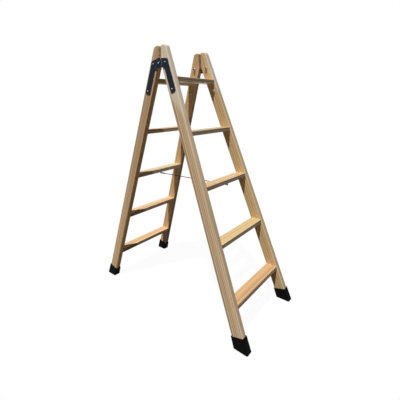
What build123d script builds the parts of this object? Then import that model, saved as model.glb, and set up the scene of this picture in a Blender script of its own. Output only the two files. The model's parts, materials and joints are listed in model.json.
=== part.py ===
from build123d import *
import math
import os

# A wooden stepladder with treads on both sides, standing open. Millimetres.
# X runs across the ladder along the hinge axis, Y along the spread, Z up.
# The origin is on the floor, under the middle of the hinge axis.
# The front section stands on the -Y side, the rear section on the +Y side.

# Stance
open_angle = 39.0            # between the two sections with the stay pulled tight
splay = 2.7                  # lean of a stile to its own side, in degrees
width_at_pivot = 349.0       # over the outer faces of a section's stiles, level with the hinge axis
pivot_above_tread = 72.0     # hinge axis above the top tread
head_above_pivot = 88.5      # stile tops above the hinge axis

# Stiles
stile_width = 61.0
stile_thickness = 28.0
stile_setback = 8.0          # hinge axis to the inner edge of a stile
head_gap = 16.0              # between the upright faces at the top of the two sections
top_inner_round = 9.0        # corner of a stile's top towards the gap
top_outer_round = 20.0
stile_kink_round = 14.0
stile_arris = 2.0

# Treads
tread_count = 5
tread_pitch = 280.0          # along the stile
top_tread_pitch = 289.0
first_tread_height = 195.0   # top face of the lowest tread
tread_thickness = 23.0
tread_depth = 62.0
tread_arris = 2.0
tenon_length = 16.0
tenon_width = 36.0
tenon_thickness = 13.0

# Rubber boots
boot_height = 62.0           # rim to floor along the middle of the stile
boot_wall = 5.0              # at the rim
boot_flare = 1.5             # extra wall at the floor
boot_corner = 7.0
boot_rim_tilt = 4.0          # fall of the rim to the outside, in degrees
boot_sole = 9.0
sole_edge_chamfer = 2.5
sole_groove_width = 4.0
sole_groove_depth = 2.0
sole_groove_count = 5

# Hinge leaves: each has an arm flat on its stile, a bend, and a head square to the hinge axis
leaf_thickness = 3.0
leaf_clearance = 0.3
arm_margin = 9.0             # front edge of the stile to the arm
arm_end = 174.5              # hinge axis down the stile to the end of an arm
arm_end_round = 8.0
head_top = 31.3              # top edge of a leaf above the hinge axis, in line with the axis
head_slope = 30.5            # top edge of a leaf against the square of its arm, in degrees
shoulder_round = 4.0
bend_length = 8.0            # between the head and the arm
bend_foot = 41.0             # where the bend leaves the arm, below the hinge axis
inner_head_radius = 15.5     # round end of the inner head
inner_head_gap = 1.5         # between that round end and the other leaf's bend
head_foot = 24.5             # lower edge of a head below the hinge axis, level with the ladder open
head_reach = 19.5            # upright end of the outer head past the hinge axis
head_corner = 20.0
head_foot_round = 3.0

# Hinge rivets
rivet_diameter = 8.0
rivet_head_diameter = 16.0
rivet_head_height = 4.0
rivet_tail_diameter = 13.0
rivet_tail_height = 2.5
rivet_running_clearance = 0.05
rivet_head_clearance = 0.2

# Hinge bolts, through a leaf and its stile
bolt_diameter = 8.0
bolt_hole_clearance = 0.25
bolt_head_diameter = 15.0
bolt_head_height = 3.4
bolt_tip = 3.0               # bolt end past the nut
bolt_tip_chamfer = 0.8
upper_bolt_down = 13.5       # below the hinge axis
lower_bolt_margin = 17.0     # above the end of the arm
washer_diameter = 17.0
washer_thickness = 1.6
nut_across_flats = 13.0
nut_height = 6.5
nut_corner_chamfer = 0.8     # turned off the corners of the nut's free end

# Stay: a cord with a loop at each end, held in screw eyes under the middle treads
stay_offset = 28.0           # to the right of the ladder's middle
stay_inset = 24.0            # outer edge of a tread to its eye
cord_diameter = 4.5
cord_loop_radius = 4.9       # middle of the cord in an end loop
cord_middle_gap = 0.2        # between the two halves at mid span
ferrule_diameter = 8.0
ferrule_length = 22.0
ferrule_clearance = 0.1
eye_ring_radius = 4.2        # middle of the wire
eye_wire_diameter = 2.6
eye_neck = 7.8               # between the ring and the collar
eye_collar_diameter = 6.4
eye_collar_height = 1.2
eye_shank_length = 16.0
eye_hole_clearance = 0.05
loop_clearance = 0.3

# Worked out from the sizes above
lean = open_angle / 2
sin_lean = math.sin(math.radians(lean))
cos_lean = math.cos(math.radians(lean))
cos_splay = math.cos(math.radians(splay))
tan_splay = math.tan(math.radians(splay))
tread_tops = [first_tread_height + step * tread_pitch * cos_lean for step in range(tread_count - 1)]
tread_tops.append(tread_tops[-1] + top_tread_pitch * cos_lean)
middle_tread = tread_count // 2
pivot_height = tread_tops[-1] + pivot_above_tread
total_height = pivot_height + head_above_pivot
stile_front = stile_setback + stile_width
stile_middle = stile_setback + stile_width / 2
bend_inner = inner_head_radius + inner_head_gap
arm_inner = bend_inner + bend_length
arm_outer = stile_front - arm_margin
arm_middle = (arm_inner + arm_outer) / 2
bolt_downs = (upper_bolt_down, arm_end - lower_bolt_margin)
inner_head_lift = inner_head_radius * tan_splay + leaf_clearance
outer_head_lift = inner_head_lift + leaf_thickness + leaf_clearance
eye_collar_up = eye_ring_radius + eye_wire_diameter / 2 + eye_neck
beyond = 4 * total_height    # past every piece on either side, for stock that is cut down

# A section is drawn hanging upright from the hinge axis at the origin, on the -Y side of it.
# front_place leans it out to its open stance, and turn_round makes the rear section of it.
front_place = Pos(0, 0, pivot_height) * Rot(-lean, 0, 0)
turn_round = Rot(0, 0, 180)
# The left stile's outer face: X into the wood, Y across the stile, Z up along it.
left_face = Pos(-width_at_pivot / 2, 0, 0) * Rot(0, splay, 0)
# Sketch plane on that face: out from the hinge axis, then up, with its normal out of the wood.
outward = Plane(origin=(0, 0, 0), x_dir=(0, -1, 0), z_dir=(-1, 0, 0))
# The hinge axis at the left side, with Z out of the wood.
left_pivot = Pos(-width_at_pivot / 2, 0, 0) * Rot(0, -90, 0)
standing = (Align.CENTER, Align.CENTER, Align.MIN)
hanging = (Align.CENTER, Align.CENTER, Align.MAX)


def stance_point(down, out):
    """(y, z) on the front section: down the stile from the hinge axis and out from the axis."""
    return (-down * sin_lean - out * cos_lean, pivot_height - down * cos_lean + out * sin_lean)


def down_at(height, out):
    """How far down the stile a line that runs `out` from the hinge axis reaches a height."""
    return (pivot_height + out * sin_lean - height) / cos_lean


def level_point(out, up):
    """A point given level and plumb from the hinge axis, as (out, up) of the upright section."""
    return (out * cos_lean + up * sin_lean, up * cos_lean - out * sin_lean)


def tread_front(top):
    """Y of a front tread's front edge, flush with the front edge of the stile."""
    return stance_point(down_at(top, stile_front), stile_front)[0]


def runs_across(edge):
    """Whether an edge lies mostly along X."""
    way = edge.tangent_at(0.5)
    return abs(way.X) > max(abs(way.Y), abs(way.Z))


def stile_blank():
    """The left front stile before its mortises and bolt holes."""
    kink = stance_point((head_gap / 2 - stile_setback * cos_lean) / sin_lean, stile_setback)
    top_inner = (-head_gap / 2, total_height)
    top_outer = stance_point(down_at(total_height, stile_front), stile_front)
    side = make_face(Polyline(
        kink,
        top_inner,
        top_outer,
        stance_point(down_at(boot_sole, stile_front), stile_front),
        stance_point(down_at(boot_sole, stile_setback), stile_setback),
        close=True,
    ))
    rounds = (kink, stile_kink_round), (top_inner, top_inner_round), (top_outer, top_outer_round)
    for corner, radius in rounds:
        side = fillet(side.vertices().sort_by_distance(Vector(*corner))[0], radius)
    slab = Box(stile_thickness, beyond, beyond, align=(Align.MIN, Align.CENTER, Align.CENTER))
    blank = extrude(Plane.YZ * side, beyond, both=True) & (front_place * left_face * slab)
    arrises = [
        edge for edge in blank.edges()
        if edge.center().Z > boot_sole + stile_arris and not runs_across(edge)
    ]
    return fillet(arrises, stile_arris)


def space_between_stiles(into_wood):
    """The wedge between the inner faces of a section's stiles, each moved into the wood."""
    half = width_at_pivot / 2 - (stile_thickness - into_wood) / cos_splay
    wedge = Polygon(
        (-half - tan_splay * beyond, -beyond),
        (half + tan_splay * beyond, -beyond),
        (half, 0),
        (-half, 0),
        align=None,
    )
    return front_place * extrude(Plane.XZ * wedge, beyond, both=True)


def front_tread(top):
    """A board between the front stiles, with a stub tenon at each end."""
    front = tread_front(top)
    board = Box(beyond, tread_depth, tread_thickness, align=(Align.CENTER, Align.MIN, Align.MAX))
    board = fillet(board.edges().filter_by(Axis.X), tread_arris)
    board = (Pos(0, front, top) * board) & space_between_stiles(0)
    tenon = Box(beyond, tenon_width, tenon_thickness)
    tenon = Pos(0, front + tread_depth / 2, top - tread_thickness / 2) * tenon
    return board + (tenon & space_between_stiles(tenon_length))


def left_boot(stile):
    """The rubber boot round the foot of the left front stile, with its sole flat on the floor."""
    rim = down_at(0, stile_middle) - boot_height
    flare = math.degrees(math.atan(boot_flare / boot_height))
    outline = RectangleRounded(stile_thickness + 2 * boot_wall, stile_width + 2 * boot_wall, boot_corner)
    sleeve = extrude(outline, boot_height + stile_width, dir=(0, 0, -1), taper=-flare)
    sleeve += extrude(outline, stile_width)
    sleeve &= Rot(boot_rim_tilt, 0, 0) * Box(beyond, beyond, beyond, align=hanging)
    sleeve = front_place * left_face * Pos(stile_thickness / 2, -stile_middle, -rim) * sleeve
    body = sleeve & Box(beyond, beyond, beyond, align=standing)
    sole = body.faces().sort_by(Axis.Z)[0]
    size = sole.bounding_box().size
    middle = sole.center()
    body = chamfer(sole.edges(), sole_edge_chamfer)
    groove = Box(beyond, sole_groove_width, 2 * sole_groove_depth)
    for index in range(sole_groove_count):
        along = (index + 1) / (sole_groove_count + 1) - 1 / 2
        body -= Pos(0, middle.Y + along * size.Y, 0) * groove
    return body - stile


def top_edge(out):
    """Height of a leaf's sloping top edge above the hinge axis."""
    return head_top - out * math.tan(math.radians(head_slope))


def head_foot_up():
    """Height at which the lower edge of a head meets its bend, from the hinge axis."""
    return -(head_foot + bend_inner * sin_lean) / cos_lean


def inner_head():
    """Outline of the inner leaf's head: from the bend to a round end about the rivet."""
    bend = Line((bend_inner, head_foot_up()), (bend_inner, top_edge(bend_inner)))
    return make_hull([bend, CenterArc((0, 0), inner_head_radius, 0, 360)])


def outer_head():
    """Outline of the outer leaf's head: past the rivet to an upright end with a large corner."""
    foot = Vector(*level_point(-head_reach, -head_foot))
    top = Vector(bend_inner, top_edge(bend_inner))
    upright = Vector(*level_point(0, 1))
    rise = math.tan(math.radians(head_slope))
    crest = foot + upright * ((top.Y - foot.Y + rise * (top.X - foot.X)) / (upright.Y + rise * upright.X))
    outline = Polygon((bend_inner, head_foot_up()), top, crest, foot, align=None)
    outline = fillet(outline.vertices().sort_by_distance(crest)[0], head_corner)
    return fillet(outline.vertices().sort_by_distance(foot)[0], head_foot_round)


def arm():
    """Outline of a leaf's arm, with a round end and a sloping top."""
    shoulder = Vector(arm_outer, top_edge(arm_outer))
    outline = Polygon(
        (arm_inner, -arm_end), (arm_outer, -arm_end),
        shoulder, (arm_inner, top_edge(arm_inner)), align=None)
    end_round = min(arm_end_round, (arm_outer - arm_inner) / 2 - leaf_clearance)
    outline = fillet(outline.vertices().sort_by(Axis.Y)[:2], end_round)
    return fillet(outline.vertices().sort_by_distance(shoulder)[0], shoulder_round)


def left_leaf(head, head_lift):
    """A hinge leaf on the left stile, with its head lifted off the stile's outer face."""
    def bend_end(out, up, place):
        edge = Pos(0, -out, up[0]), Pos(0, -out, up[1])
        proud = Pos(-leaf_thickness, 0, 0)
        corners = [place * edge[0], place * proud * edge[0], place * proud * edge[1], place * edge[1]]
        return make_face(Polyline(*[corner.position for corner in corners], close=True))

    head_place = Pos(-width_at_pivot / 2 - head_lift, 0, 0)
    at_arm = bend_end(arm_inner, (top_edge(arm_inner), -bend_foot), left_face)
    at_head = bend_end(bend_inner, (top_edge(bend_inner), head_foot_up()), head_place)
    leaf = left_face * extrude(outward * arm(), leaf_thickness)
    leaf += loft([at_arm, at_head], ruled=True)
    leaf += head_place * extrude(outward * head, leaf_thickness)
    for spot in bolt_places():
        leaf -= spot * bolt_hole()
    return leaf


def headed_pin(radius, tip, seat, head_radius, head_height):
    """A pin about Z from its tip up to a domed head on its seat."""
    ball = (head_radius ** 2 + head_height ** 2) / (2 * head_height)
    half_out = head_radius / 2
    half_up = seat + head_height - ball + math.sqrt(ball ** 2 - half_out ** 2)
    crown = (0, seat + head_height)
    straights = Polyline(crown, (0, tip), (radius, tip), (radius, seat), (head_radius, seat))
    dome = ThreePointArc((head_radius, seat), (half_out, half_up), crown)
    return revolve(Plane.XZ * make_face(straights.edges() + dome.edges()), Axis.Z)


def left_rivet():
    """The hinge rivet, fixed in the inner leaf, with the outer leaf turning on it."""
    seat = outer_head_lift + leaf_thickness + rivet_head_clearance
    pin = headed_pin(
        rivet_diameter / 2, inner_head_lift, seat, rivet_head_diameter / 2, rivet_head_height)
    tail = Cylinder(rivet_tail_diameter / 2, rivet_tail_height, align=hanging)
    return left_pivot * (pin + Pos(0, 0, inner_head_lift) * tail)


def bolt_places():
    """Bolt axes on the left stile, with Z out of the wood from its outer face."""
    return [left_face * Pos(0, -arm_middle, -down) * Rot(0, -90, 0) for down in bolt_downs]


def bolt_hole():
    return Cylinder(bolt_diameter / 2 + bolt_hole_clearance, beyond)


def bolt():
    """A domed bolt, seated on the leaf."""
    tip = -stile_thickness - washer_thickness - nut_height - bolt_tip
    pin = headed_pin(bolt_diameter / 2, tip, leaf_thickness, bolt_head_diameter / 2, bolt_head_height)
    return chamfer(pin.edges().sort_by(Axis.Z)[0], bolt_tip_chamfer)


def washer():
    """A washer on the inner face of the stile."""
    disc = Cylinder(washer_diameter / 2, washer_thickness, align=hanging)
    return Pos(0, 0, -stile_thickness) * (disc - bolt_hole())


def nut():
    """A hexagon nut on the washer, with the corners of its free end turned off."""
    hexagon = RegularPolygon(nut_across_flats / 2, 6, major_radius=False)
    turned = Cylinder(hexagon.radius, nut_height, align=hanging)
    turned = chamfer(turned.edges().group_by(Axis.Z)[0], nut_corner_chamfer)
    body = (extrude(hexagon, -nut_height) & turned) - bolt_hole()
    return Pos(0, 0, -stile_thickness - washer_thickness) * body


def stay_place():
    """The middle of the front eye's ring, under the middle tread."""
    top = tread_tops[middle_tread]
    drop = tread_thickness + eye_collar_height + eye_collar_up
    return Pos(stay_offset, tread_front(top) + stay_inset, top - drop)


def front_eye():
    """A screw eye in the underside of the middle tread, its ring open to the side."""
    wire = eye_wire_diameter / 2
    shank_length = eye_collar_up - eye_ring_radius + eye_collar_height + eye_shank_length
    shank = Pos(0, 0, eye_ring_radius) * Cylinder(wire, shank_length, align=standing)
    collar = Cylinder(eye_collar_diameter / 2, eye_collar_height, align=standing)
    ring = Rot(0, 90, 0) * Torus(eye_ring_radius, wire)
    return stay_place() * (shank + Pos(0, 0, eye_collar_up) * collar + ring)


def eye_hole():
    """The pilot hole for the eye's shank."""
    length = eye_collar_up + eye_collar_height + eye_shank_length + eye_hole_clearance
    return stay_place() * Cylinder(eye_wire_diameter / 2 + eye_hole_clearance, length, align=standing)


def loop_place():
    """The middle of the front loop, which hangs in the eye's ring."""
    inside_ring = eye_ring_radius - eye_wire_diameter / 2 - loop_clearance - cord_diameter / 2
    return stay_place() * Pos(0, inside_ring + cord_loop_radius, 0)


def front_cord():
    """The front half of the stay: a loop through the eye and a straight run to mid span."""
    loop = Torus(cord_loop_radius, cord_diameter / 2)
    length = -loop_place().position.Y - cord_loop_radius - cord_middle_gap / 2
    run = Rot(90, 0, 0) * Cylinder(cord_diameter / 2, length, align=hanging)
    return loop_place() * (loop + Pos(0, cord_loop_radius, 0) * run)


def front_ferrule():
    """The sleeve pressed round the cord where its loop closes."""
    start = cord_loop_radius + cord_diameter / 2 + loop_clearance
    sleeve = Cylinder(ferrule_diameter / 2, ferrule_length, align=hanging)
    sleeve -= Cylinder(cord_diameter / 2 + ferrule_clearance, beyond)
    return loop_place() * Pos(0, start, 0) * Rot(90, 0, 0) * sleeve


def stay_half(piece, section):
    """A piece of the stay's front half, or its mirror image in the rear half."""
    return piece if section == "front" else mirror(piece, about=Plane.XZ)


def with_mirror(left):
    """A left piece and its mirror image on the right."""
    return [left, mirror(left, about=Plane.YZ)]


nodes = {}


def add_sides(name, left, turn):
    """Name a piece and its mirror image by the side of the ladder that each stands on."""
    pair = sorted([turn * piece for piece in with_mirror(left)], key=lambda piece: piece.center().X)
    for side, piece in zip(("left", "right"), pair):
        nodes[f"{name}_{side}"] = piece


def add_group(name, make, turn):
    """One fastener at every bolt hole of a section, as one group."""
    pieces = [side for spot in bolt_places() for side in with_mirror(front_place * spot * make())]
    nodes[name] = Compound(children=[turn * piece for piece in pieces])


# The front section is made in its open stance, and the rear one is the same turned round.
treads = [front_tread(top) for top in tread_tops]
left_blank = stile_blank()
left_stile = left_blank
for tread in treads:
    left_stile -= tread
for spot in bolt_places():
    left_stile -= front_place * spot * bolt_hole()
boot = left_boot(left_blank)

for section, turn in (("front", Pos(0, 0, 0)), ("rear", turn_round)):
    add_sides(f"{section}_stile", left_stile, turn)
    add_sides(f"{section}_foot", boot, turn)
    for number, tread in enumerate(treads, start=1):
        nodes[f"{section}_tread_{number}"] = turn * tread
    nodes[f"{section}_tread_{middle_tread + 1}"] -= stay_half(eye_hole(), section)
    add_group(f"{section}_hinge_bolts", bolt, turn)
    add_group(f"{section}_hinge_washers", washer, turn)
    add_group(f"{section}_hinge_nuts", nut, turn)
    nodes[f"stay_eye_{section}"] = stay_half(front_eye(), section)
    nodes[f"stay_cord_{section}"] = stay_half(front_cord(), section)
    nodes[f"stay_ferrule_{section}"] = stay_half(front_ferrule(), section)

# The front leaf is the inner one and holds the rivet, and the rear leaf turns on it.
rivet_hole = Cylinder(rivet_diameter / 2, beyond)
turning_hole = Cylinder(rivet_diameter / 2 + rivet_running_clearance, beyond)
inner_leaf = left_leaf(inner_head(), inner_head_lift) - left_pivot * rivet_hole
outer_leaf = left_leaf(outer_head(), outer_head_lift) - left_pivot * turning_hole
add_sides("front_hinge_leaf", front_place * inner_leaf, Pos(0, 0, 0))
add_sides("rear_hinge_leaf", front_place * outer_leaf, turn_round)
add_sides("hinge_rivet", front_place * left_rivet(), Pos(0, 0, 0))

os.makedirs("parts", exist_ok=True)
for name, solid in nodes.items():
    export_step(solid, f"parts/{name}.step")
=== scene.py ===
import json
import math

import bmesh
import bpy
from mathutils import Matrix, Vector


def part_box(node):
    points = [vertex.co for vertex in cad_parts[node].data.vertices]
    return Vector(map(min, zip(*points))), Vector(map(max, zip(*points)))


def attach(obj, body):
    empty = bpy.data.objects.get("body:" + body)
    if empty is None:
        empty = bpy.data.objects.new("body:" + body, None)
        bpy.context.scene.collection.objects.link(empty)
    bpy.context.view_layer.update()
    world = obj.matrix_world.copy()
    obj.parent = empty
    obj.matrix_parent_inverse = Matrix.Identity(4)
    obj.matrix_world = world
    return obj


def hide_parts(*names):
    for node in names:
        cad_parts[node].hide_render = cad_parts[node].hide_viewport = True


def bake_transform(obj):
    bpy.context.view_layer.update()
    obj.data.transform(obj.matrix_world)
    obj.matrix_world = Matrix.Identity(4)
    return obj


# The looks of a double-sided wooden stepladder, standing open. Metres, in the part's own frame:
# X across the ladder, Y along its spread, Z up, with the front section on the -Y side.

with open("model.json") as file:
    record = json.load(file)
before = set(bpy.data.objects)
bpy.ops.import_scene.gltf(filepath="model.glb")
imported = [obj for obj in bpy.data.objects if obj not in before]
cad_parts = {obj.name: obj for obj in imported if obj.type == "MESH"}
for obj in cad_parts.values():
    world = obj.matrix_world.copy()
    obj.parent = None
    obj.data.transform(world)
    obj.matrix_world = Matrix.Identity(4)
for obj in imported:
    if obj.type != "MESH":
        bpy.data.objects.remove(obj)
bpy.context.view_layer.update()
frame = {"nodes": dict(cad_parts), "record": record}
nodes = frame["nodes"]
fold = frame["record"]["behaviour"]["joints"][0]

# Camera of the photograph
picture_side = 400                # pixels
sensor_side = 36.0                # millimetres
focal_pixels = 281.05
optical_centre_row = 155.31       # pixel row of the lens axis
camera_place = Vector((-1.19325, -1.10917, 1.09483))
camera_heading = 40.168           # degrees from +X towards +Y
camera_pitch = -9.391
camera_roll = -1.7525

# Light
key_direction = Vector((-0.345, -0.100, 0.933))   # towards the key light
key_strength = 3.7
key_softness = math.radians(1.5)
fill_place = Vector((-2.6, 0.35, 0.9))
fill_power = 1.2
fill_colour = (1.0, 0.78, 0.5)
back_place = Vector((2.3, 1.5, 0.50))   # of the lamp for the sides that the key leaves dark
back_power = 14.0
fill_target = Vector((0, 0.1, 0.8))     # of both these lamps
fill_side = 1.2
sky_colour = (0.013, 0.022, 0.040, 1)
floor_bounce = (0.11, 0.092, 0.075, 1)  # its colour for the light that it throws up
floor_albedo = (0.03, 0.03, 0.03, 1)    # its colour as seen
floor_glow = 0.966
floor_half = 30.0
white = (1, 1, 1, 1)

# Stance of the boards, as in the part's source
lean = math.radians(fold["range_deg"][1] / 2)
splay = math.radians(2.7)
pivot_height = fold["pos_m"][2]
width_at_pivot = 0.349            # over the outer faces of a section's stiles
stile_thickness = 0.028
stile_width = 0.061
stile_setback = 0.008             # hinge axis to the inner edge of a stile
stile_length = 1.43

# Hinge bolts, as in the part's source
leaf_thickness = 0.003
arm_middle = 0.0425               # hinge axis to the middle of a leaf's arm
bolt_downs = (0.0135, 0.1575)     # hinge axis down the stile to the bolts
bolt_radius = 0.004
bolt_head_radius = 0.0075
bolt_head_height = 0.0034
bolt_tip = 0.0391                 # stile's outer face to the bolt's end
bolt_chamfer = 0.0008
thread_length = 0.0045
thread_pitch = 0.00125
thread_depth = 0.0006
bolt_sides = 24
rings_per_thread = 8
dome_rings = 10

# Stay, as in the part's source
stay_offset = 0.028               # to the right of the ladder's middle
stay_height = 0.685379
loop_reach = 0.259381             # mid span to the middle of an end loop
loop_radius = 0.0049              # middle of the cord in an end loop
cord_diameter = 0.0045
run_reach = loop_reach - loop_radius
lead_in = 6 * cord_diameter       # where the straight run starts, from a loop
sleeve_radius = 0.004
sleeve_length = 0.022
sleeve_start = 0.00745            # middle of an end loop to the near end of the sleeve
sleeve_bore = 0.00235
route_order = 3                   # of the spline along the cord
route_resolution = 64

# Braid of the cord
braid_strands = 6                 # each way round
braid_lay = 0.0026                # along the cord for one strand's width round it
braid_relief = 0.16               # share of the radius
braid_sides = 24
braid_step = 0.0008

# Crimps of a sleeve
crimp_count = 4
crimp_depth = 0.0005
crimp_sharpness = 4
sleeve_sides = 32
sleeve_rings = 48
sleeve_edge = 0.0007              # rounding of its ends

section_sign = {"front": -1, "rear": 1}
side_sign = {"left": -1, "right": 1}
ladder_across = (1, 0, 0)
tiny = 1e-9                       # metres


# Shader helpers

def add(tree, kind, inputs=(), **settings):
    """A new shader node. inputs gives a socket its value, or the output that feeds it."""
    made = tree.nodes.new(kind)
    for key, value in settings.items():
        setattr(made, key, value)
    for key, value in dict(inputs).items():
        if isinstance(value, bpy.types.NodeSocket):
            tree.links.new(value, made.inputs[key])
        else:
            made.inputs[key].default_value = value
    return made


def math_node(tree, operation, *values):
    """The result of one sum on numbers or outputs."""
    return add(tree, "ShaderNodeMath", dict(enumerate(values)), operation=operation).outputs[0]


def times(tree, first, second):
    return math_node(tree, "MULTIPLY", first, second)


def inverse(tree, share):
    """1 less a share."""
    return math_node(tree, "SUBTRACT", 1.0, share)


def vector_node(tree, operation, *values):
    """The vector, length or dot product that comes of one sum on vectors or outputs."""
    made = add(tree, "ShaderNodeVectorMath", dict(enumerate(values)), operation=operation)
    return made.outputs["Value" if operation in ("LENGTH", "DOT_PRODUCT") else "Vector"]


def coordinate(tree, place, axis):
    """One coordinate of a place: X, Y or Z."""
    return add(tree, "ShaderNodeSeparateXYZ", {0: place}).outputs[axis]


def step_between(tree, value, low, high):
    """0 up to low, 1 from high on, and smooth between them. With low above high it runs down."""
    limits = {"Value": value, "From Min": low, "From Max": high}
    made = add(tree, "ShaderNodeMapRange", limits, interpolation_type="SMOOTHSTEP")
    return made.outputs["Result"]


def scaled(tree, value, low, high):
    """A value of 0 to 1 stretched to low to high."""
    limits = {"Value": value, "To Min": low, "To Max": high}
    return add(tree, "ShaderNodeMapRange", limits).outputs["Result"]


def mixed(tree, share, first, second):
    """A colour between two colours."""
    made = add(tree, "ShaderNodeMix", {0: share, 6: first, 7: second}, data_type="RGBA")
    return made.outputs[2]


def tinted(tree, colour, tint):
    """A colour times a tint."""
    return vector_node(tree, "MULTIPLY", colour, tint)


def noise(tree, place, waves, detail=2.0, roughness=0.5, output=0):
    """Noise with its number of waves per metre, one for each axis or one for all."""
    stretch = waves if isinstance(waves, tuple) else (waves,) * 3
    stretched = vector_node(tree, "MULTIPLY", place, stretch)
    inputs = {"Vector": stretched, "Scale": 1.0, "Detail": detail, "Roughness": roughness}
    return add(tree, "ShaderNodeTexNoise", inputs).outputs[output]


def rest_place(tree):
    """Where a point of the piece is with the ladder at rest."""
    return add(tree, "ShaderNodeTexCoord").outputs["Object"]


def in_frame(tree, matrix):
    """Where a point of the piece is in a frame of its own."""
    inputs = {
        "Vector": rest_place(tree),
        "Location": matrix.to_translation(),
        "Rotation": matrix.to_euler(),
    }
    return add(tree, "ShaderNodeMapping", inputs, vector_type="TEXTURE").outputs[0]


def normal_along(tree, direction):
    """The cosine between a piece's surface normal, at rest, and a direction."""
    normal = add(tree, "ShaderNodeTexCoord").outputs["Normal"]
    return vector_node(tree, "DOT_PRODUCT", normal, direction)


def rounded_normal(tree, radius, samples):
    """The surface's normal, as if its edges were rounded."""
    return add(tree, "ShaderNodeBevel", {"Radius": radius}, samples=samples).outputs[0]


def edge_share(tree, radius, sharp):
    """1 on a piece's edges and 0 on its faces."""
    flat = add(tree, "ShaderNodeNewGeometry").outputs["Normal"]
    alike = vector_node(tree, "DOT_PRODUCT", rounded_normal(tree, radius, samples=6), flat)
    return step_between(tree, inverse(tree, alike), sharp / 4, sharp)


def bump(tree, height, strength, distance, normal=None):
    inputs = {"Height": height, "Strength": strength, "Distance": distance}
    if normal is not None:
        inputs["Normal"] = normal
    return add(tree, "ShaderNodeBump", inputs).outputs[0]


def blank_material(name):
    """A material with its tree, and the shader that everything else feeds."""
    material = bpy.data.materials.new(name)
    material.use_nodes = True
    tree = material.node_tree
    tree.nodes.clear()
    shader = tree.nodes.new("ShaderNodeBsdfPrincipled")
    output = tree.nodes.new("ShaderNodeOutputMaterial")
    tree.links.new(shader.outputs["BSDF"], output.inputs["Surface"])
    return material, tree, shader


def feed(tree, shader, **sockets):
    """Links or values for the shader's sockets, by their names with underscores for spaces."""
    for key, value in sockets.items():
        socket = shader.inputs[key.replace("_", " ")]
        if isinstance(value, bpy.types.NodeSocket):
            tree.links.new(value, socket)
        else:
            socket.default_value = value


# Softwood. Waves are per metre, in a board's own frame: X through its thickness, Z along its grain.

ring_spacing = 0.0126
ring_wander_waves = (7, 7, 1.6)
ring_wander_reach = (0.012, 0.012, 0)
ring_uneven_waves = 45.0          # out from the pith
ring_uneven_reach = 1.6           # rings
late_profile = (                  # place in a year's ring, and the share of late wood there
    (0.0, 0.0), (0.35, 0.12), (0.62, 0.8), (0.8, 1.0), (0.94, 0.35), (1.0, 0.0))
year_strengths = (0.4, 1.0)       # of the late wood, from one year to another
noise_middle = (0.5, 0.5, 0.5)
streak_waves = (70, 70, 1.1)
streak_light = (0.72, 1.28)
fibre_waves = (900, 900, 16)
fibre_light = (-0.1, 0.1)
duct_waves = (1600, 1600, 60)
duct_limits = (0.66, 0.74)        # of the noise, where resin ducts start and are full
duct_shade = 0.1
fibre_relief = 0.6
late_relief = 0.4
wood_roughness = (0.62, 0.48)
seed_steps = (3.7, 1.9, 5.3)      # from one board's noise to the next one's
facing_limits = (0.6, 0.85)       # cosines at which a side starts to count, and counts in full

bold_look = {
    "early_tint": (1.24, 1.26, 1.30),
    "late_tint": (0.40, 0.34, 0.27),
    # The narrow sides' tint is painted light: warm bounced light on this board's narrow sides
    "narrow_tint": (1.30, 1.24, 1.09),   # of the board's narrow sides
    "narrow_grain": 0.4,              # share of the late wood that shows on them
    # Pale long corners: partly wear, partly a painted highlight on the side towards the key light
    "rubbing": (0.0, 0.15),           # of the board's long corners
    "rounding": 0.008,
}
# On this board the narrow sides' tint is painted shade
front_bold_look = {**bold_look, "narrow_tint": (0.83, 0.85, 0.89), "rubbing": (0.1, 0.5)}
quiet_look = {
    "early_tint": (1.12, 1.13, 1.15),
    "late_tint": (0.68, 0.64, 0.58),
    # The narrow sides' tint is painted shade, bluish
    "narrow_tint": (0.76, 0.78, 0.88),
    "narrow_grain": 0.4,
    # Pale long corners: partly wear, partly a painted highlight
    "rubbing": (0.5, 1.0),
    "rounding": 0.008,
}
tread_look = {
    "early_tint": (1.16, 1.18, 1.22),
    "late_tint": (0.62, 0.56, 0.48),
    "narrow_grain": 1.0,
    "rubbing": (0.05, 0.2),
    "rounding": 0.002,
}
# Painted light and shade on the treads' fronts and backs, one tint for each section
tread_narrow_light_tints = {"front": (1.00, 1.13, 1.42), "rear": (0.90, 0.98, 1.12)}
pale_early = (0.99, 0.835, 0.61, 1)
pale_late = (0.85, 0.675, 0.455, 1)
pale_rise = (0.24, 0.66)          # up the board, where the pale wood's limit goes from foot to head
pale_blend = 0.045                # across the rings
no_head_pale = (0.25, 0.25)         # limits that lie outside the board
no_fade = (1, 1)
end_tint = (0.62, 0.55, 0.47)
# Pale colour of the long corners on the side towards the key light: partly wear, partly painted
# highlight
worn_and_highlit_colour = (0.99, 0.87, 0.66, 1)
worn_and_highlit_reach = 0.006              # in from a long corner
fade_reach = 0.6                  # up and down the board from its middle


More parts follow.
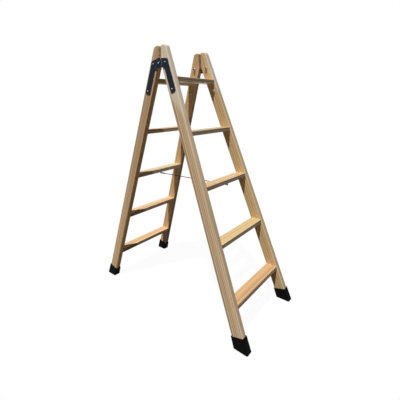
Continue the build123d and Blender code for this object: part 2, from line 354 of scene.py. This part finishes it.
def growth_rings(tree, own, pith):
    """Late wood at a point, from 0 to 1, and how far it is from the pith."""
    wander = noise(tree, own, ring_wander_waves, detail=1.0, output="Color")
    wander = vector_node(tree, "SUBTRACT", wander, noise_middle)
    sway = vector_node(tree, "MULTIPLY", wander, ring_wander_reach)
    flat = vector_node(tree, "MULTIPLY", in_frame(tree, pith), (1, 1, 0))
    radius = vector_node(tree, "LENGTH", vector_node(tree, "ADD", flat, sway))
    outward = {"W": radius, "Scale": ring_uneven_waves, "Detail": 1.0}
    uneven = add(tree, "ShaderNodeTexNoise", outward, noise_dimensions="1D").outputs[0]
    rings = math_node(tree, "DIVIDE", radius, ring_spacing)
    rings = math_node(tree, "ADD", rings, scaled(tree, uneven, 0.0, ring_uneven_reach))
    ramp = add(tree, "ShaderNodeValToRGB", {"Fac": math_node(tree, "FRACT", rings)})
    stops = ramp.color_ramp.elements
    for place, _ in late_profile[1:-1]:
        stops.new(place)
    for stop, (place, level) in zip(stops, late_profile):
        stop.position = place
        stop.color = (level, level, level, 1)
    number = {"W": math_node(tree, "FLOOR", rings)}
    year = add(tree, "ShaderNodeTexWhiteNoise", number, noise_dimensions="1D").outputs[0]
    return times(tree, ramp.outputs[0], scaled(tree, year, *year_strengths)), radius


def facing(tree, direction):
    """1 where a piece's surface faces along a direction or against it, 0 where it is in line."""
    share = math_node(tree, "ABSOLUTE", normal_along(tree, direction))
    return step_between(tree, share, *facing_limits)


def arris_share(tree, local, half_thickness, half_width):
    """1 on the long corners of the broad side at a board's low X, 0 a little way in from them."""
    from_broad_side = math_node(tree, "ADD", half_thickness, coordinate(tree, local, "X"))
    aside = math_node(tree, "ABSOLUTE", coordinate(tree, local, "Y"))
    from_narrow_side = math_node(tree, "SUBTRACT", half_width, aside)
    gap = math_node(tree, "MAXIMUM", from_broad_side, from_narrow_side)
    return inverse(tree, step_between(tree, gap, 0.0, worn_and_highlit_reach))


def pine(name, seed, board, half_sizes, tone, look, pith, sapwood=no_head_pale, fade=no_fade):
    """Planed softwood. half_sizes are those of the board's thickness and width, and pith is the
    middle of the tree in its frame. sapwood gives the distances from the pith at which
    the wood turns pale and fade how light the board is, each at foot and head; the pale wood
    leaves the board paler towards its head."""
    material, tree, shader = blank_material(name)
    local = in_frame(tree, board)
    up = coordinate(tree, local, "Z")
    narrow, end = (facing(tree, board.to_3x3().col[axis]) for axis in (1, 2))
    own = vector_node(tree, "ADD", local, tuple(step * seed for step in seed_steps))
    late, radius = growth_rings(tree, own, board @ pith)
    late = times(tree, late, scaled(tree, narrow, 1.0, look["narrow_grain"]))
    streaks = noise(tree, own, streak_waves, detail=3.0, roughness=0.6)
    fibres = noise(tree, own, fibre_waves)
    ducts = step_between(tree, noise(tree, own, duct_waves, detail=0.0), *duct_limits)

    light = scaled(tree, streaks, *streak_light)
    light = math_node(tree, "ADD", light, scaled(tree, fibres, *fibre_light))
    light = math_node(tree, "SUBTRACT", light, times(tree, ducts, duct_shade))
    light = times(tree, light, scaled(tree, step_between(tree, up, -fade_reach, fade_reach), *fade))
    early, dark = (
        (*(part * tint for part, tint in zip(tone, look[key])), 1)
        for key in ("early_tint", "late_tint"))
    lit = {0: mixed(tree, late, early, dark), "Scale": light}
    colour = add(tree, "ShaderNodeVectorMath", lit, operation="SCALE").outputs[0]

    # Paler towards the head: past a limit from the pith that shrinks up the board, the wood turns
    # pale
    limit = scaled(tree, step_between(tree, up, *pale_rise), *sapwood)
    pale_share = step_between(tree, math_node(tree, "SUBTRACT", radius, limit), 0.0, pale_blend)
    colour = mixed(tree, pale_share, colour, mixed(tree, late, pale_early, pale_late))
    # Painted light and shade: the narrow sides take the tint of the light that falls on them
    colour = mixed(tree, narrow, colour, tinted(tree, colour, look["narrow_tint"]))
    # Painted highlight, partly wear: the long corners of the side towards the key light turn pale
    corners = arris_share(tree, local, *half_sizes)
    rubbed = times(tree, corners, scaled(tree, streaks, *look["rubbing"]))
    colour = mixed(tree, rubbed, colour, worn_and_highlit_colour)
    colour = mixed(tree, end, colour, tinted(tree, colour, end_tint))

    raised = times(tree, fibres, fibre_relief)
    grain = math_node(tree, "ADD", raised, times(tree, late, late_relief))
    rounded = rounded_normal(tree, look["rounding"], samples=8)
    feed(tree, shader, Base_Color=colour, Roughness=scaled(tree, grain, *wood_roughness),
         Specular_IOR_Level=0.1,
         Normal=bump(tree, grain, strength=0.25, distance=0.0003, normal=rounded))
    return material


def section_place(section):
    """The frame of a section: hung from the hinge axis and leant out."""
    leant = Matrix.Rotation(section_sign[section] * lean, 4, "X")
    return Matrix.Translation((0, 0, pivot_height)) @ leant


def stile_face(section, side):
    """The frame of a stile's outer face, at the hinge axis, with Z up along the stile."""
    sign = side_sign[side]
    across = Matrix.Translation((sign * width_at_pivot / 2, 0, 0))
    return section_place(section) @ across @ Matrix.Rotation(-sign * splay, 4, "Y")


def stile_board(section, side):
    """The frame of a stile, in its middle."""
    inward = -side_sign[side] * stile_thickness / 2
    outward = section_sign[section] * (stile_setback + stile_width / 2)
    middle = Matrix.Translation((inward, outward, -stile_length / 2))
    return stile_face(section, side) @ middle


def pith_frame(thickness_way, width_way, tilt_degrees):
    """The middle of the tree, by its place in the board's frame and how far the grain runs out."""
    tilt = Matrix.Rotation(math.radians(tilt_degrees), 4, "X")
    return Matrix.Translation((thickness_way, width_way, 0)) @ tilt


stile_woods = {
    "front_stile_left": {
        "tone": (0.717, 0.514, 0.305),
        "look": front_bold_look,
        "pith": pith_frame(0.030, 0.125, tilt_degrees=0.35),
        "sapwood": (0.185, 0.052),
        "fade": (1.02, 1.04),
    },
    "front_stile_right": {
        "tone": (0.813, 0.566, 0.268),
        "look": quiet_look,
        "pith": pith_frame(-0.025, 0.110, tilt_degrees=-0.3),
        "sapwood": (0.25, 0.105),
    },
    "rear_stile_left": {
        "tone": (0.619, 0.418, 0.226),
        "look": bold_look,
        "pith": pith_frame(-0.028, -0.140, tilt_degrees=0.25),
        "sapwood": (0.25, 0.147),
        "fade": (1.16, 0.92),
    },
    "rear_stile_right": {
        "tone": (0.807, 0.535, 0.262),
        "look": quiet_look,
        "pith": pith_frame(0.030, 0.120, tilt_degrees=0.3),
        "sapwood": (0.25, 0.130),
        "fade": (1.05, 0.98),
    },
}
# Tone of each tread, from the floor up, how strong its grain is and how much painted light its
# narrow sides get
tread_woods = {
    "front": (((0.545, 0.333, 0.157), 1.5, 1.12), ((0.710, 0.511, 0.247), 0.65, 0.78),
              ((0.660, 0.452, 0.244), 1.2, 0.83), ((0.540, 0.397, 0.215), 1.0, 0.98),
              ((0.710, 0.487, 0.265), 1.2, 0.90)),
    "rear": (((0.757, 0.492, 0.246), 0.9, 0.68), ((0.676, 0.447, 0.239), 0.8, 0.95),
             ((0.720, 0.549, 0.307), 0.6, 1.02), ((0.624, 0.432, 0.233), 1.0, 1.3),
             ((0.648, 0.432, 0.227), 1.0, 1.0)),
}
# Where a tread's pith lies, in turn from one tread to the next
tread_pith_depths = (0.050, 0.058, 0.066, 0.074)
tread_pith_asides = (0.020, 0.027, 0.034)
tread_tilt = 0.5                  # degrees
first_tread_seed = 11


def own_tread_look(section, strength, light):
    """The looks of one tread, from how strong its grain is and how much painted light its narrow
    sides get.
    """
    narrow_tint = tuple(light * part for part in tread_narrow_light_tints[section])
    look = {**tread_look, "narrow_tint": narrow_tint}
    for key in ("early_tint", "late_tint"):
        look[key] = tuple(1 + strength * (part - 1) for part in tread_look[key])
    return look


def finish_stiles():
    half_sizes = (stile_thickness / 2, stile_width / 2)
    for seed, (name, wood) in enumerate(stile_woods.items(), start=1):
        section, _, side = name.split("_")
        material = pine(name, seed, stile_board(section, side), half_sizes, **wood)
        nodes[name].data.materials.append(material)


def finish_treads():
    names = sorted(name for name in nodes if "tread" in name)
    along_x = Matrix.Rotation(math.pi / 2, 4, "Y")
    for index, name in enumerate(names):
        low, high = (Vector(corner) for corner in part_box(name))
        board = Matrix.Translation((low + high) / 2) @ along_x
        half = (high - low) / 2
        turned = 1 if index % 2 else -1
        depth = tread_pith_depths[index % len(tread_pith_depths)]
        aside = tread_pith_asides[index % len(tread_pith_asides)]
        pith = pith_frame(turned * depth, -turned * aside, tread_tilt)
        section, _, number = name.split("_")
        tone, strength, light = tread_woods[section][int(number) - 1]
        look = own_tread_look(section, strength, light)
        seed = first_tread_seed + index
        material = pine(name, seed, board, (half.z, half.y), tone, look, pith)
        nodes[name].data.materials.append(material)


# Rubber, steel and cord

rubber_black = (0.0028, 0.0028, 0.0033, 1)
rubber_dust = (0.022, 0.021, 0.020, 1)
dust_height = 0.03                # above the floor
dust_share = 0.4
paint_colours = ((0.005, 0.0125, 0.027, 1), (0.0075, 0.017, 0.034, 1))
bare_steel = (0.75, 0.75, 0.76, 1)
wear_rise = 0.008                 # hinge axis up to the middle of the rub on the leaves' heads
wear_reach = 0.032                # from that middle to where the leaves' edges keep their paint
wear_full = 0.85                  # share of that reach within which they are rubbed bare
blackened_colours = ((0.012, 0.014, 0.018, 1), (0.045, 0.045, 0.048, 1))
# Bright crowns of the bolts and rivets: partly wear, partly painted highlight
crown_highlight_colour = (0.95, 0.95, 0.95, 1)
crown_highlight_limits = (0.955, 0.98)      # cosines at which the bright crown of a head starts, and is full: partly wear, partly painted highlight
zinc_colours = ((0.50, 0.50, 0.49, 1), (0.78, 0.78, 0.77, 1))
cord_colours = ((0.010, 0.010, 0.011, 1), (0.05, 0.05, 0.052, 1))


def rubber():
    """Moulded black rubber, finely grained, dusty on its edges and towards the floor."""
    material, tree, shader = blank_material("rubber")
    place = rest_place(tree)
    grain = noise(tree, place, waves=1100)
    patches = noise(tree, place, waves=45, detail=3.0)
    near_floor = inverse(tree, step_between(tree, coordinate(tree, place, "Z"), 0.0, dust_height))
    edges = edge_share(tree, radius=0.0015, sharp=0.12)
    dust = math_node(tree, "MAXIMUM", near_floor, edges)
    dust = times(tree, dust, step_between(tree, patches, low=0.4, high=0.75))
    colour = mixed(tree, times(tree, dust, dust_share), rubber_black, rubber_dust)
    feed(tree, shader, Base_Color=colour, Roughness=scaled(tree, patches, low=0.62, high=0.82),
         Specular_IOR_Level=0.04, Normal=bump(tree, grain, strength=0.35, distance=0.0002))
    return material


def rubbed_head(tree):
    """1 on the edges of a hinge leaf's head, which rub against the other leaf."""
    middle = (0, 0, pivot_height + wear_rise)
    from_middle = vector_node(tree, "SUBTRACT", rest_place(tree), middle)
    reach = vector_node(tree, "LENGTH", vector_node(tree, "MULTIPLY", from_middle, (0, 1, 1)))
    near = step_between(tree, reach, wear_reach, wear_full * wear_reach)
    across = math_node(tree, "ABSOLUTE", normal_along(tree, ladder_across))
    cut_side = step_between(tree, across, low=0.7, high=0.3)
    edges = math_node(tree, "MAXIMUM", cut_side, edge_share(tree, radius=0.002, sharp=0.16))
    return times(tree, near, edges)


def painted_steel():
    """Dark blue-black satin paint, rubbed to bright steel along the edges."""
    material, tree, shader = blank_material("painted_steel")
    place = rest_place(tree)
    peel = noise(tree, place, waves=420, detail=1.0)
    patches = noise(tree, place, waves=160, detail=4.0, roughness=0.65)
    chips = step_between(tree, patches, low=0.42, high=0.58)
    chipped = times(tree, edge_share(tree, radius=0.0009, sharp=0.16), chips)
    rubbed = times(tree, rubbed_head(tree), scaled(tree, patches, low=0.75, high=1.0))
    bare = math_node(tree, "MAXIMUM", chipped, rubbed)
    colour = mixed(tree, bare, mixed(tree, patches, *paint_colours), bare_steel)
    feed(tree, shader, Base_Color=colour, Metallic=bare,
         Roughness=scaled(tree, patches, low=0.34, high=0.5), Specular_IOR_Level=0.12,
         Normal=bump(tree, peel, strength=0.12, distance=0.0003))
    return material


def dark_steel():
    """Blackened steel with a half gloss, bright bare metal on the outward crowns of the bolts and
    rivets but not on the stay: partly wear, partly a painted highlight."""
    material, tree, shader = blank_material("dark_steel")
    place = rest_place(tree)
    patches = noise(tree, place, waves=320, detail=3.0)
    worn = step_between(tree, patches, low=0.5, high=0.8)
    aside = coordinate(tree, place, "X")
    outward = times(tree, normal_along(tree, ladder_across), math_node(tree, "SIGN", aside))
    on_stile = step_between(tree, math_node(tree, "ABSOLUTE", aside),
                            low=stay_offset + loop_radius, high=width_at_pivot / 4)
    # Painted highlight, partly wear: bright bare metal on each head's crown
    crown = times(tree, step_between(tree, outward, *crown_highlight_limits), on_stile)
    colour = mixed(tree, crown, mixed(tree, worn, *blackened_colours), crown_highlight_colour)
    feed(tree, shader, Base_Color=colour, Metallic=crown,
         Roughness=scaled(tree, patches, low=0.12, high=0.26), Specular_IOR_Level=0.2,
         Normal=bump(tree, patches, strength=0.03, distance=0.0002))
    return material


def zinc_steel():
    """Zinc plate, clouded, with fine scratches."""
    material, tree, shader = blank_material("zinc_steel")
    place = rest_place(tree)
    clouds = noise(tree, place, waves=260, detail=4.0, roughness=0.6)
    scratches = noise(tree, place, waves=(2400, 2400, 180), detail=1.0)
    feed(tree, shader, Base_Color=mixed(tree, clouds, *zinc_colours), Metallic=0.1,
         Roughness=scaled(tree, clouds, low=0.5, high=0.34), Specular_IOR_Level=0.2,
         Normal=bump(tree, scratches, strength=0.08, distance=0.0001))
    return material


def cord_fibre():
    """Black braided cord, with matt fibres that run along it."""
    material, tree, shader = blank_material("cord_fibre")
    place = rest_place(tree)
    fibres = noise(tree, place, waves=(4200, 900, 4200))
    faded = noise(tree, place, waves=30)
    feed(tree, shader, Base_Color=mixed(tree, times(tree, fibres, faded), *cord_colours),
         Roughness=0.85, Specular_IOR_Level=0.2, Sheen_Weight=0.15,
         Normal=bump(tree, fibres, strength=0.4, distance=0.0002))
    return material


finishes = {
    "black_rubber": rubber(),
    "painted_steel": painted_steel(),
    "dark_steel": dark_steel(),
    "zinc_steel": zinc_steel(),
    "stay_cord": cord_fibre(),
}


def finish_nodes():
    """Give every CAD node its material, by the slot that the record gives it."""
    for part in frame["record"]["subparts"]:
        node = nodes[part["node"]]
        node.data.materials.clear()
        if part["material_slot"] in finishes:
            node.data.materials.append(finishes[part["material_slot"]])
    finish_stiles()
    finish_treads()


# Pieces made here

def skin(name, tubes, slot, closed=False):
    """A piece of one or more tubes, each a list of rings of points. A closed tube bites its own
    tail."""
    mesh = bmesh.new()
    for rings in tubes:
        rows = [[mesh.verts.new(point) for point in ring] for ring in rings]
        following_rows = rows[1:] + rows[:1] if closed else rows[1:]
        for row, following in zip(rows, following_rows):
            for index in range(len(row)):
                after = (index + 1) % len(row)
                mesh.faces.new((row[index], row[after], following[after], following[index]))
        if not closed:
            mesh.faces.new(rows[0])
            mesh.faces.new(rows[-1])
    bmesh.ops.recalc_face_normals(mesh, faces=mesh.faces)
    for face in mesh.faces:
        face.smooth = True
    data = bpy.data.meshes.new(name)
    mesh.to_mesh(data)
    mesh.free()
    data.materials.append(finishes[slot])
    piece = bpy.data.objects.new(name, data)
    bpy.context.scene.collection.objects.link(piece)
    return piece


def circle(radii, place=Matrix()):
    """A ring of points about Z, with a radius for each."""
    turns = [2 * math.pi * index / len(radii) for index in range(len(radii))]
    return [place @ Vector((r * math.cos(a), r * math.sin(a), 0)) for r, a in zip(radii, turns)]


def thread_radius(along, turn):
    """Radius of the bolt's threaded end."""
    return bolt_radius - thread_depth * abs(2 * ((along / thread_pitch - turn) % 1) - 1)


def bolt_rings(place):
    """A domed bolt about Z, with Z = 0 on the stile's outer face and a thread at its inner end."""
    def ring(height, radii):
        return circle(radii, place @ Matrix.Translation((0, 0, height)))

    def round_ring(height, radius):
        return ring(height, [radius] * bolt_sides)

    rings = [round_ring(-bolt_tip, bolt_radius - bolt_chamfer)]
    count = round(thread_length / thread_pitch * rings_per_thread)
    for index in range(1, count + 1):
        along = thread_length * index / count
        limit = bolt_radius - max(0.0, bolt_chamfer - along)
        radii = [min(limit, thread_radius(along, turn / bolt_sides)) for turn in range(bolt_sides)]
        rings.append(ring(along - bolt_tip, radii))
    rings.append(round_ring(2 * thread_length - bolt_tip, bolt_radius))
    rings.append(round_ring(leaf_thickness, bolt_radius))
    ball = (bolt_head_radius ** 2 + bolt_head_height ** 2) / (2 * bolt_head_height)
    widest = math.asin(bolt_head_radius / ball)
    crown = leaf_thickness + bolt_head_height
    for index in range(dome_rings):
        angle = widest * (1 - index / dome_rings)
        rings.append(round_ring(crown - ball * (1 - math.cos(angle)), ball * math.sin(angle)))
    return rings


def add_bolts(section):
    places = []
    for side, sign in side_sign.items():
        for down in bolt_downs:
            seat = Matrix.Translation((0, section_sign[section] * arm_middle, -down))
            out = Matrix.Rotation(sign * math.pi / 2, 4, "Y")
            places.append(stile_face(section, side) @ seat @ out)
    piece = skin(f"{section}_bolts", [bolt_rings(place) for place in places], "dark_steel")
    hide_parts(f"{section}_hinge_bolts")
    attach(piece, f"{section}_section")


def spline_points(route):
    """Points along a smooth line that has the route's points as its control points."""
    curve = bpy.data.curves.new("route", "CURVE")
    curve.dimensions = "3D"
    spline = curve.splines.new("NURBS")
    spline.points.add(len(route) - 1)
    for point, place in zip(spline.points, route):
        point.co = (*place, 1)
    spline.order_u = route_order
    spline.use_endpoint_u = True
    spline.resolution_u = route_resolution
    holder = bpy.data.objects.new("route", curve)
    mesh = bpy.data.meshes.new_from_object(holder)
    points = [vertex.co.copy() for vertex in mesh.vertices]
    bpy.data.objects.remove(holder)
    bpy.data.curves.remove(curve)
    bpy.data.meshes.remove(mesh)
    return points


def evenly_spaced(points, step):
    """Points at even steps along a line, and the line's length."""
    lengths = [0.0]
    for start, end in zip(points, points[1:]):
        lengths.append(lengths[-1] + (end - start).length)
    count = round(lengths[-1] / step)
    spaced = []
    span = 0
    for index in range(count + 1):
        along = lengths[-1] * index / count
        while span < len(points) - 2 and lengths[span + 1] < along:
            span += 1
        share = (along - lengths[span]) / max(lengths[span + 1] - lengths[span], tiny)
        spaced.append(points[span].lerp(points[span + 1], share))
    return spaced, lengths[-1]


def plait(turn, along, lay):
    """Height of the braid, from 0 between two strands to 1 on the back of one."""
    right = braid_strands * turn + along / lay
    left = braid_strands * turn - along / lay
    over = (math.floor(right) + math.floor(left)) % 2 == 0
    return math.sin(math.pi * ((right if over else left) % 1))


def braid_ring(place, along, lay):
    """A ring of the braided cord, square to the Z axis of its place."""
    heights = [plait(side / braid_sides, along, lay) for side in range(braid_sides)]
    radii = [cord_diameter / 2 * (1 - braid_relief * (1 - height)) for height in heights]
    return circle(radii, place)


def add_run():
    """The cord from loop to loop."""
    reaches = (-run_reach, lead_in - run_reach, run_reach - lead_in, run_reach)
    route = [Vector((stay_offset, y, stay_height)) for y in reaches]
    points, length = evenly_spaced(spline_points(route), braid_step)
    along_y = Matrix.Rotation(-math.pi / 2, 4, "X")
    steps = length / (len(points) - 1)
    rings = [braid_ring(Matrix.Translation(point) @ along_y, index * steps, braid_lay)
             for index, point in enumerate(points)]
    run = skin("stay_cord", [rings], "stay_cord")
    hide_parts("stay_cord_front", "stay_cord_rear")
    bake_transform(run)
    return run, points, length


def add_loop(section):
    """The end loop of the cord, through its eye."""
    length = 2 * math.pi * loop_radius
    lay = length / round(length / braid_lay)
    count = round(length / braid_step)
    middle = Matrix.Translation((stay_offset, section_sign[section] * loop_reach, stay_height))
    out = Matrix.Translation((loop_radius, 0, 0)) @ Matrix.Rotation(-math.pi / 2, 4, "X")
    rings = []
    for index in range(count):
        place = middle @ Matrix.Rotation(2 * math.pi * index / count, 4, "Z") @ out
        rings.append(braid_ring(place, length * index / count, lay))
    loop = skin(f"stay_loop_{section}", [rings], "stay_cord", closed=True)
    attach(loop, f"stay_{section}")
    return loop


def add_sleeve(section):
    """The pressed sleeve that closes an end loop, with a crimp for each bite of the tool."""
    sign = section_sign[section]
    start = Matrix.Translation((stay_offset, sign * (loop_reach - sleeve_start), stay_height))
    inward = Matrix.Rotation(sign * math.pi / 2, 4, "X")

    def ring(along, radius):
        place = start @ inward @ Matrix.Translation((0, 0, along))
        return circle([radius] * sleeve_sides, place)

    rings = []
    for index in range(sleeve_rings + 1):
        along = sleeve_length * index / sleeve_rings
        from_end = min(index, sleeve_rings - index) * sleeve_length / sleeve_rings
        rounding = sleeve_edge * (1 - math.sqrt(1 - (1 - min(from_end / sleeve_edge, 1)) ** 2))
        wave = math.sin(math.pi * crimp_count * along / sleeve_length)
        bite = crimp_depth * wave ** crimp_sharpness
        rings.append(ring(along, sleeve_radius - rounding - bite))
    rings += [ring(along, sleeve_bore) for along in (sleeve_length, 0.0)]
    sleeve = skin(f"stay_sleeve_{section}", [rings], "dark_steel", closed=True)
    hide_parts(f"stay_ferrule_{section}")
    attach(sleeve, f"stay_{section}")
    return sleeve


def add_stay():
    run, points, length = add_run()
    fittings = [make(section) for section in section_sign for make in (add_loop, add_sleeve)]


# Studio

def add_camera():
    heading, pitch, roll = (math.radians(a) for a in (camera_heading, camera_pitch, camera_roll))
    level = math.cos(pitch)
    forward = Vector((level * math.cos(heading), level * math.sin(heading), math.sin(pitch)))
    right = forward.cross(Vector((0, 0, 1))).normalized()
    up = right.cross(forward)
    across = right * math.cos(roll) + up * math.sin(roll)
    axes = Matrix((across, up * math.cos(roll) - right * math.sin(roll), -forward)).transposed()
    camera = bpy.data.objects.new("camera", bpy.data.cameras.new("camera"))
    camera.matrix_world = Matrix.Translation(camera_place) @ axes.to_4x4()
    camera.data.sensor_width = sensor_side
    camera.data.lens = focal_pixels / picture_side * sensor_side
    camera.data.shift_y = optical_centre_row / picture_side - 1 / 2
    bpy.context.scene.collection.objects.link(camera)
    bpy.context.scene.camera = camera


def add_lamp(name, kind, power, direction, place=Vector()):
    """A lamp that shines against `direction`, which points towards it."""
    lamp = bpy.data.lights.new(name, kind)
    lamp.energy = power
    light = bpy.data.objects.new(name, lamp)
    light.location = place
    light.rotation_mode = "QUATERNION"
    light.rotation_quaternion = direction.to_track_quat("Z", "Y")
    bpy.context.scene.collection.objects.link(light)
    return lamp


def add_lamps():
    key = add_lamp("key", "SUN", key_strength, key_direction)
    key.angle = key_softness
    side = add_lamp("fill", "AREA", fill_power, fill_place - fill_target, fill_place)
    side.color = fill_colour
    back = add_lamp("back_fill", "AREA", back_power, back_place - fill_target, back_place)
    for lamp in (side, back):
        lamp.size = fill_side


def shown_directly(tree):
    """1 for what the camera, a mirror or clear glass sees, 0 for light on other things."""
    path = add(tree, "ShaderNodeLightPath").outputs
    seen = math_node(tree, "MAXIMUM", path["Is Camera Ray"], path["Is Glossy Ray"])
    return math_node(tree, "MAXIMUM", seen, path["Is Transmission Ray"])


def add_floor():
    material, tree, shader = blank_material("floor")
    seen = shown_directly(tree)
    feed(tree, shader, Base_Color=mixed(tree, seen, floor_bounce, floor_albedo), Roughness=1.0,
         Specular_IOR_Level=0.0, Emission_Color=white,
         Emission_Strength=times(tree, seen, floor_glow))
    mesh = bpy.data.meshes.new("floor")
    signs = ((-1, -1), (1, -1), (1, 1), (-1, 1))
    mesh.from_pydata([(x * floor_half, y * floor_half, 0) for x, y in signs], [], [(0, 1, 2, 3)])
    mesh.materials.append(material)
    floor = bpy.data.objects.new("floor", mesh)
    bpy.context.scene.collection.objects.link(floor)


def add_world():
    world = bpy.data.worlds.new("studio")
    world.use_nodes = True
    tree = world.node_tree
    tree.nodes.clear()
    colour = mixed(tree, shown_directly(tree), sky_colour, white)
    sky = add(tree, "ShaderNodeBackground", {"Color": colour})
    output = add(tree, "ShaderNodeOutputWorld")
    tree.links.new(sky.outputs[0], output.inputs["Surface"])
    bpy.context.scene.world = world


finish_nodes()
for section in section_sign:
    add_bolts(section)
add_stay()
add_camera()
add_lamps()
add_floor()
add_world()
bpy.context.scene.view_settings.view_transform = "Standard"
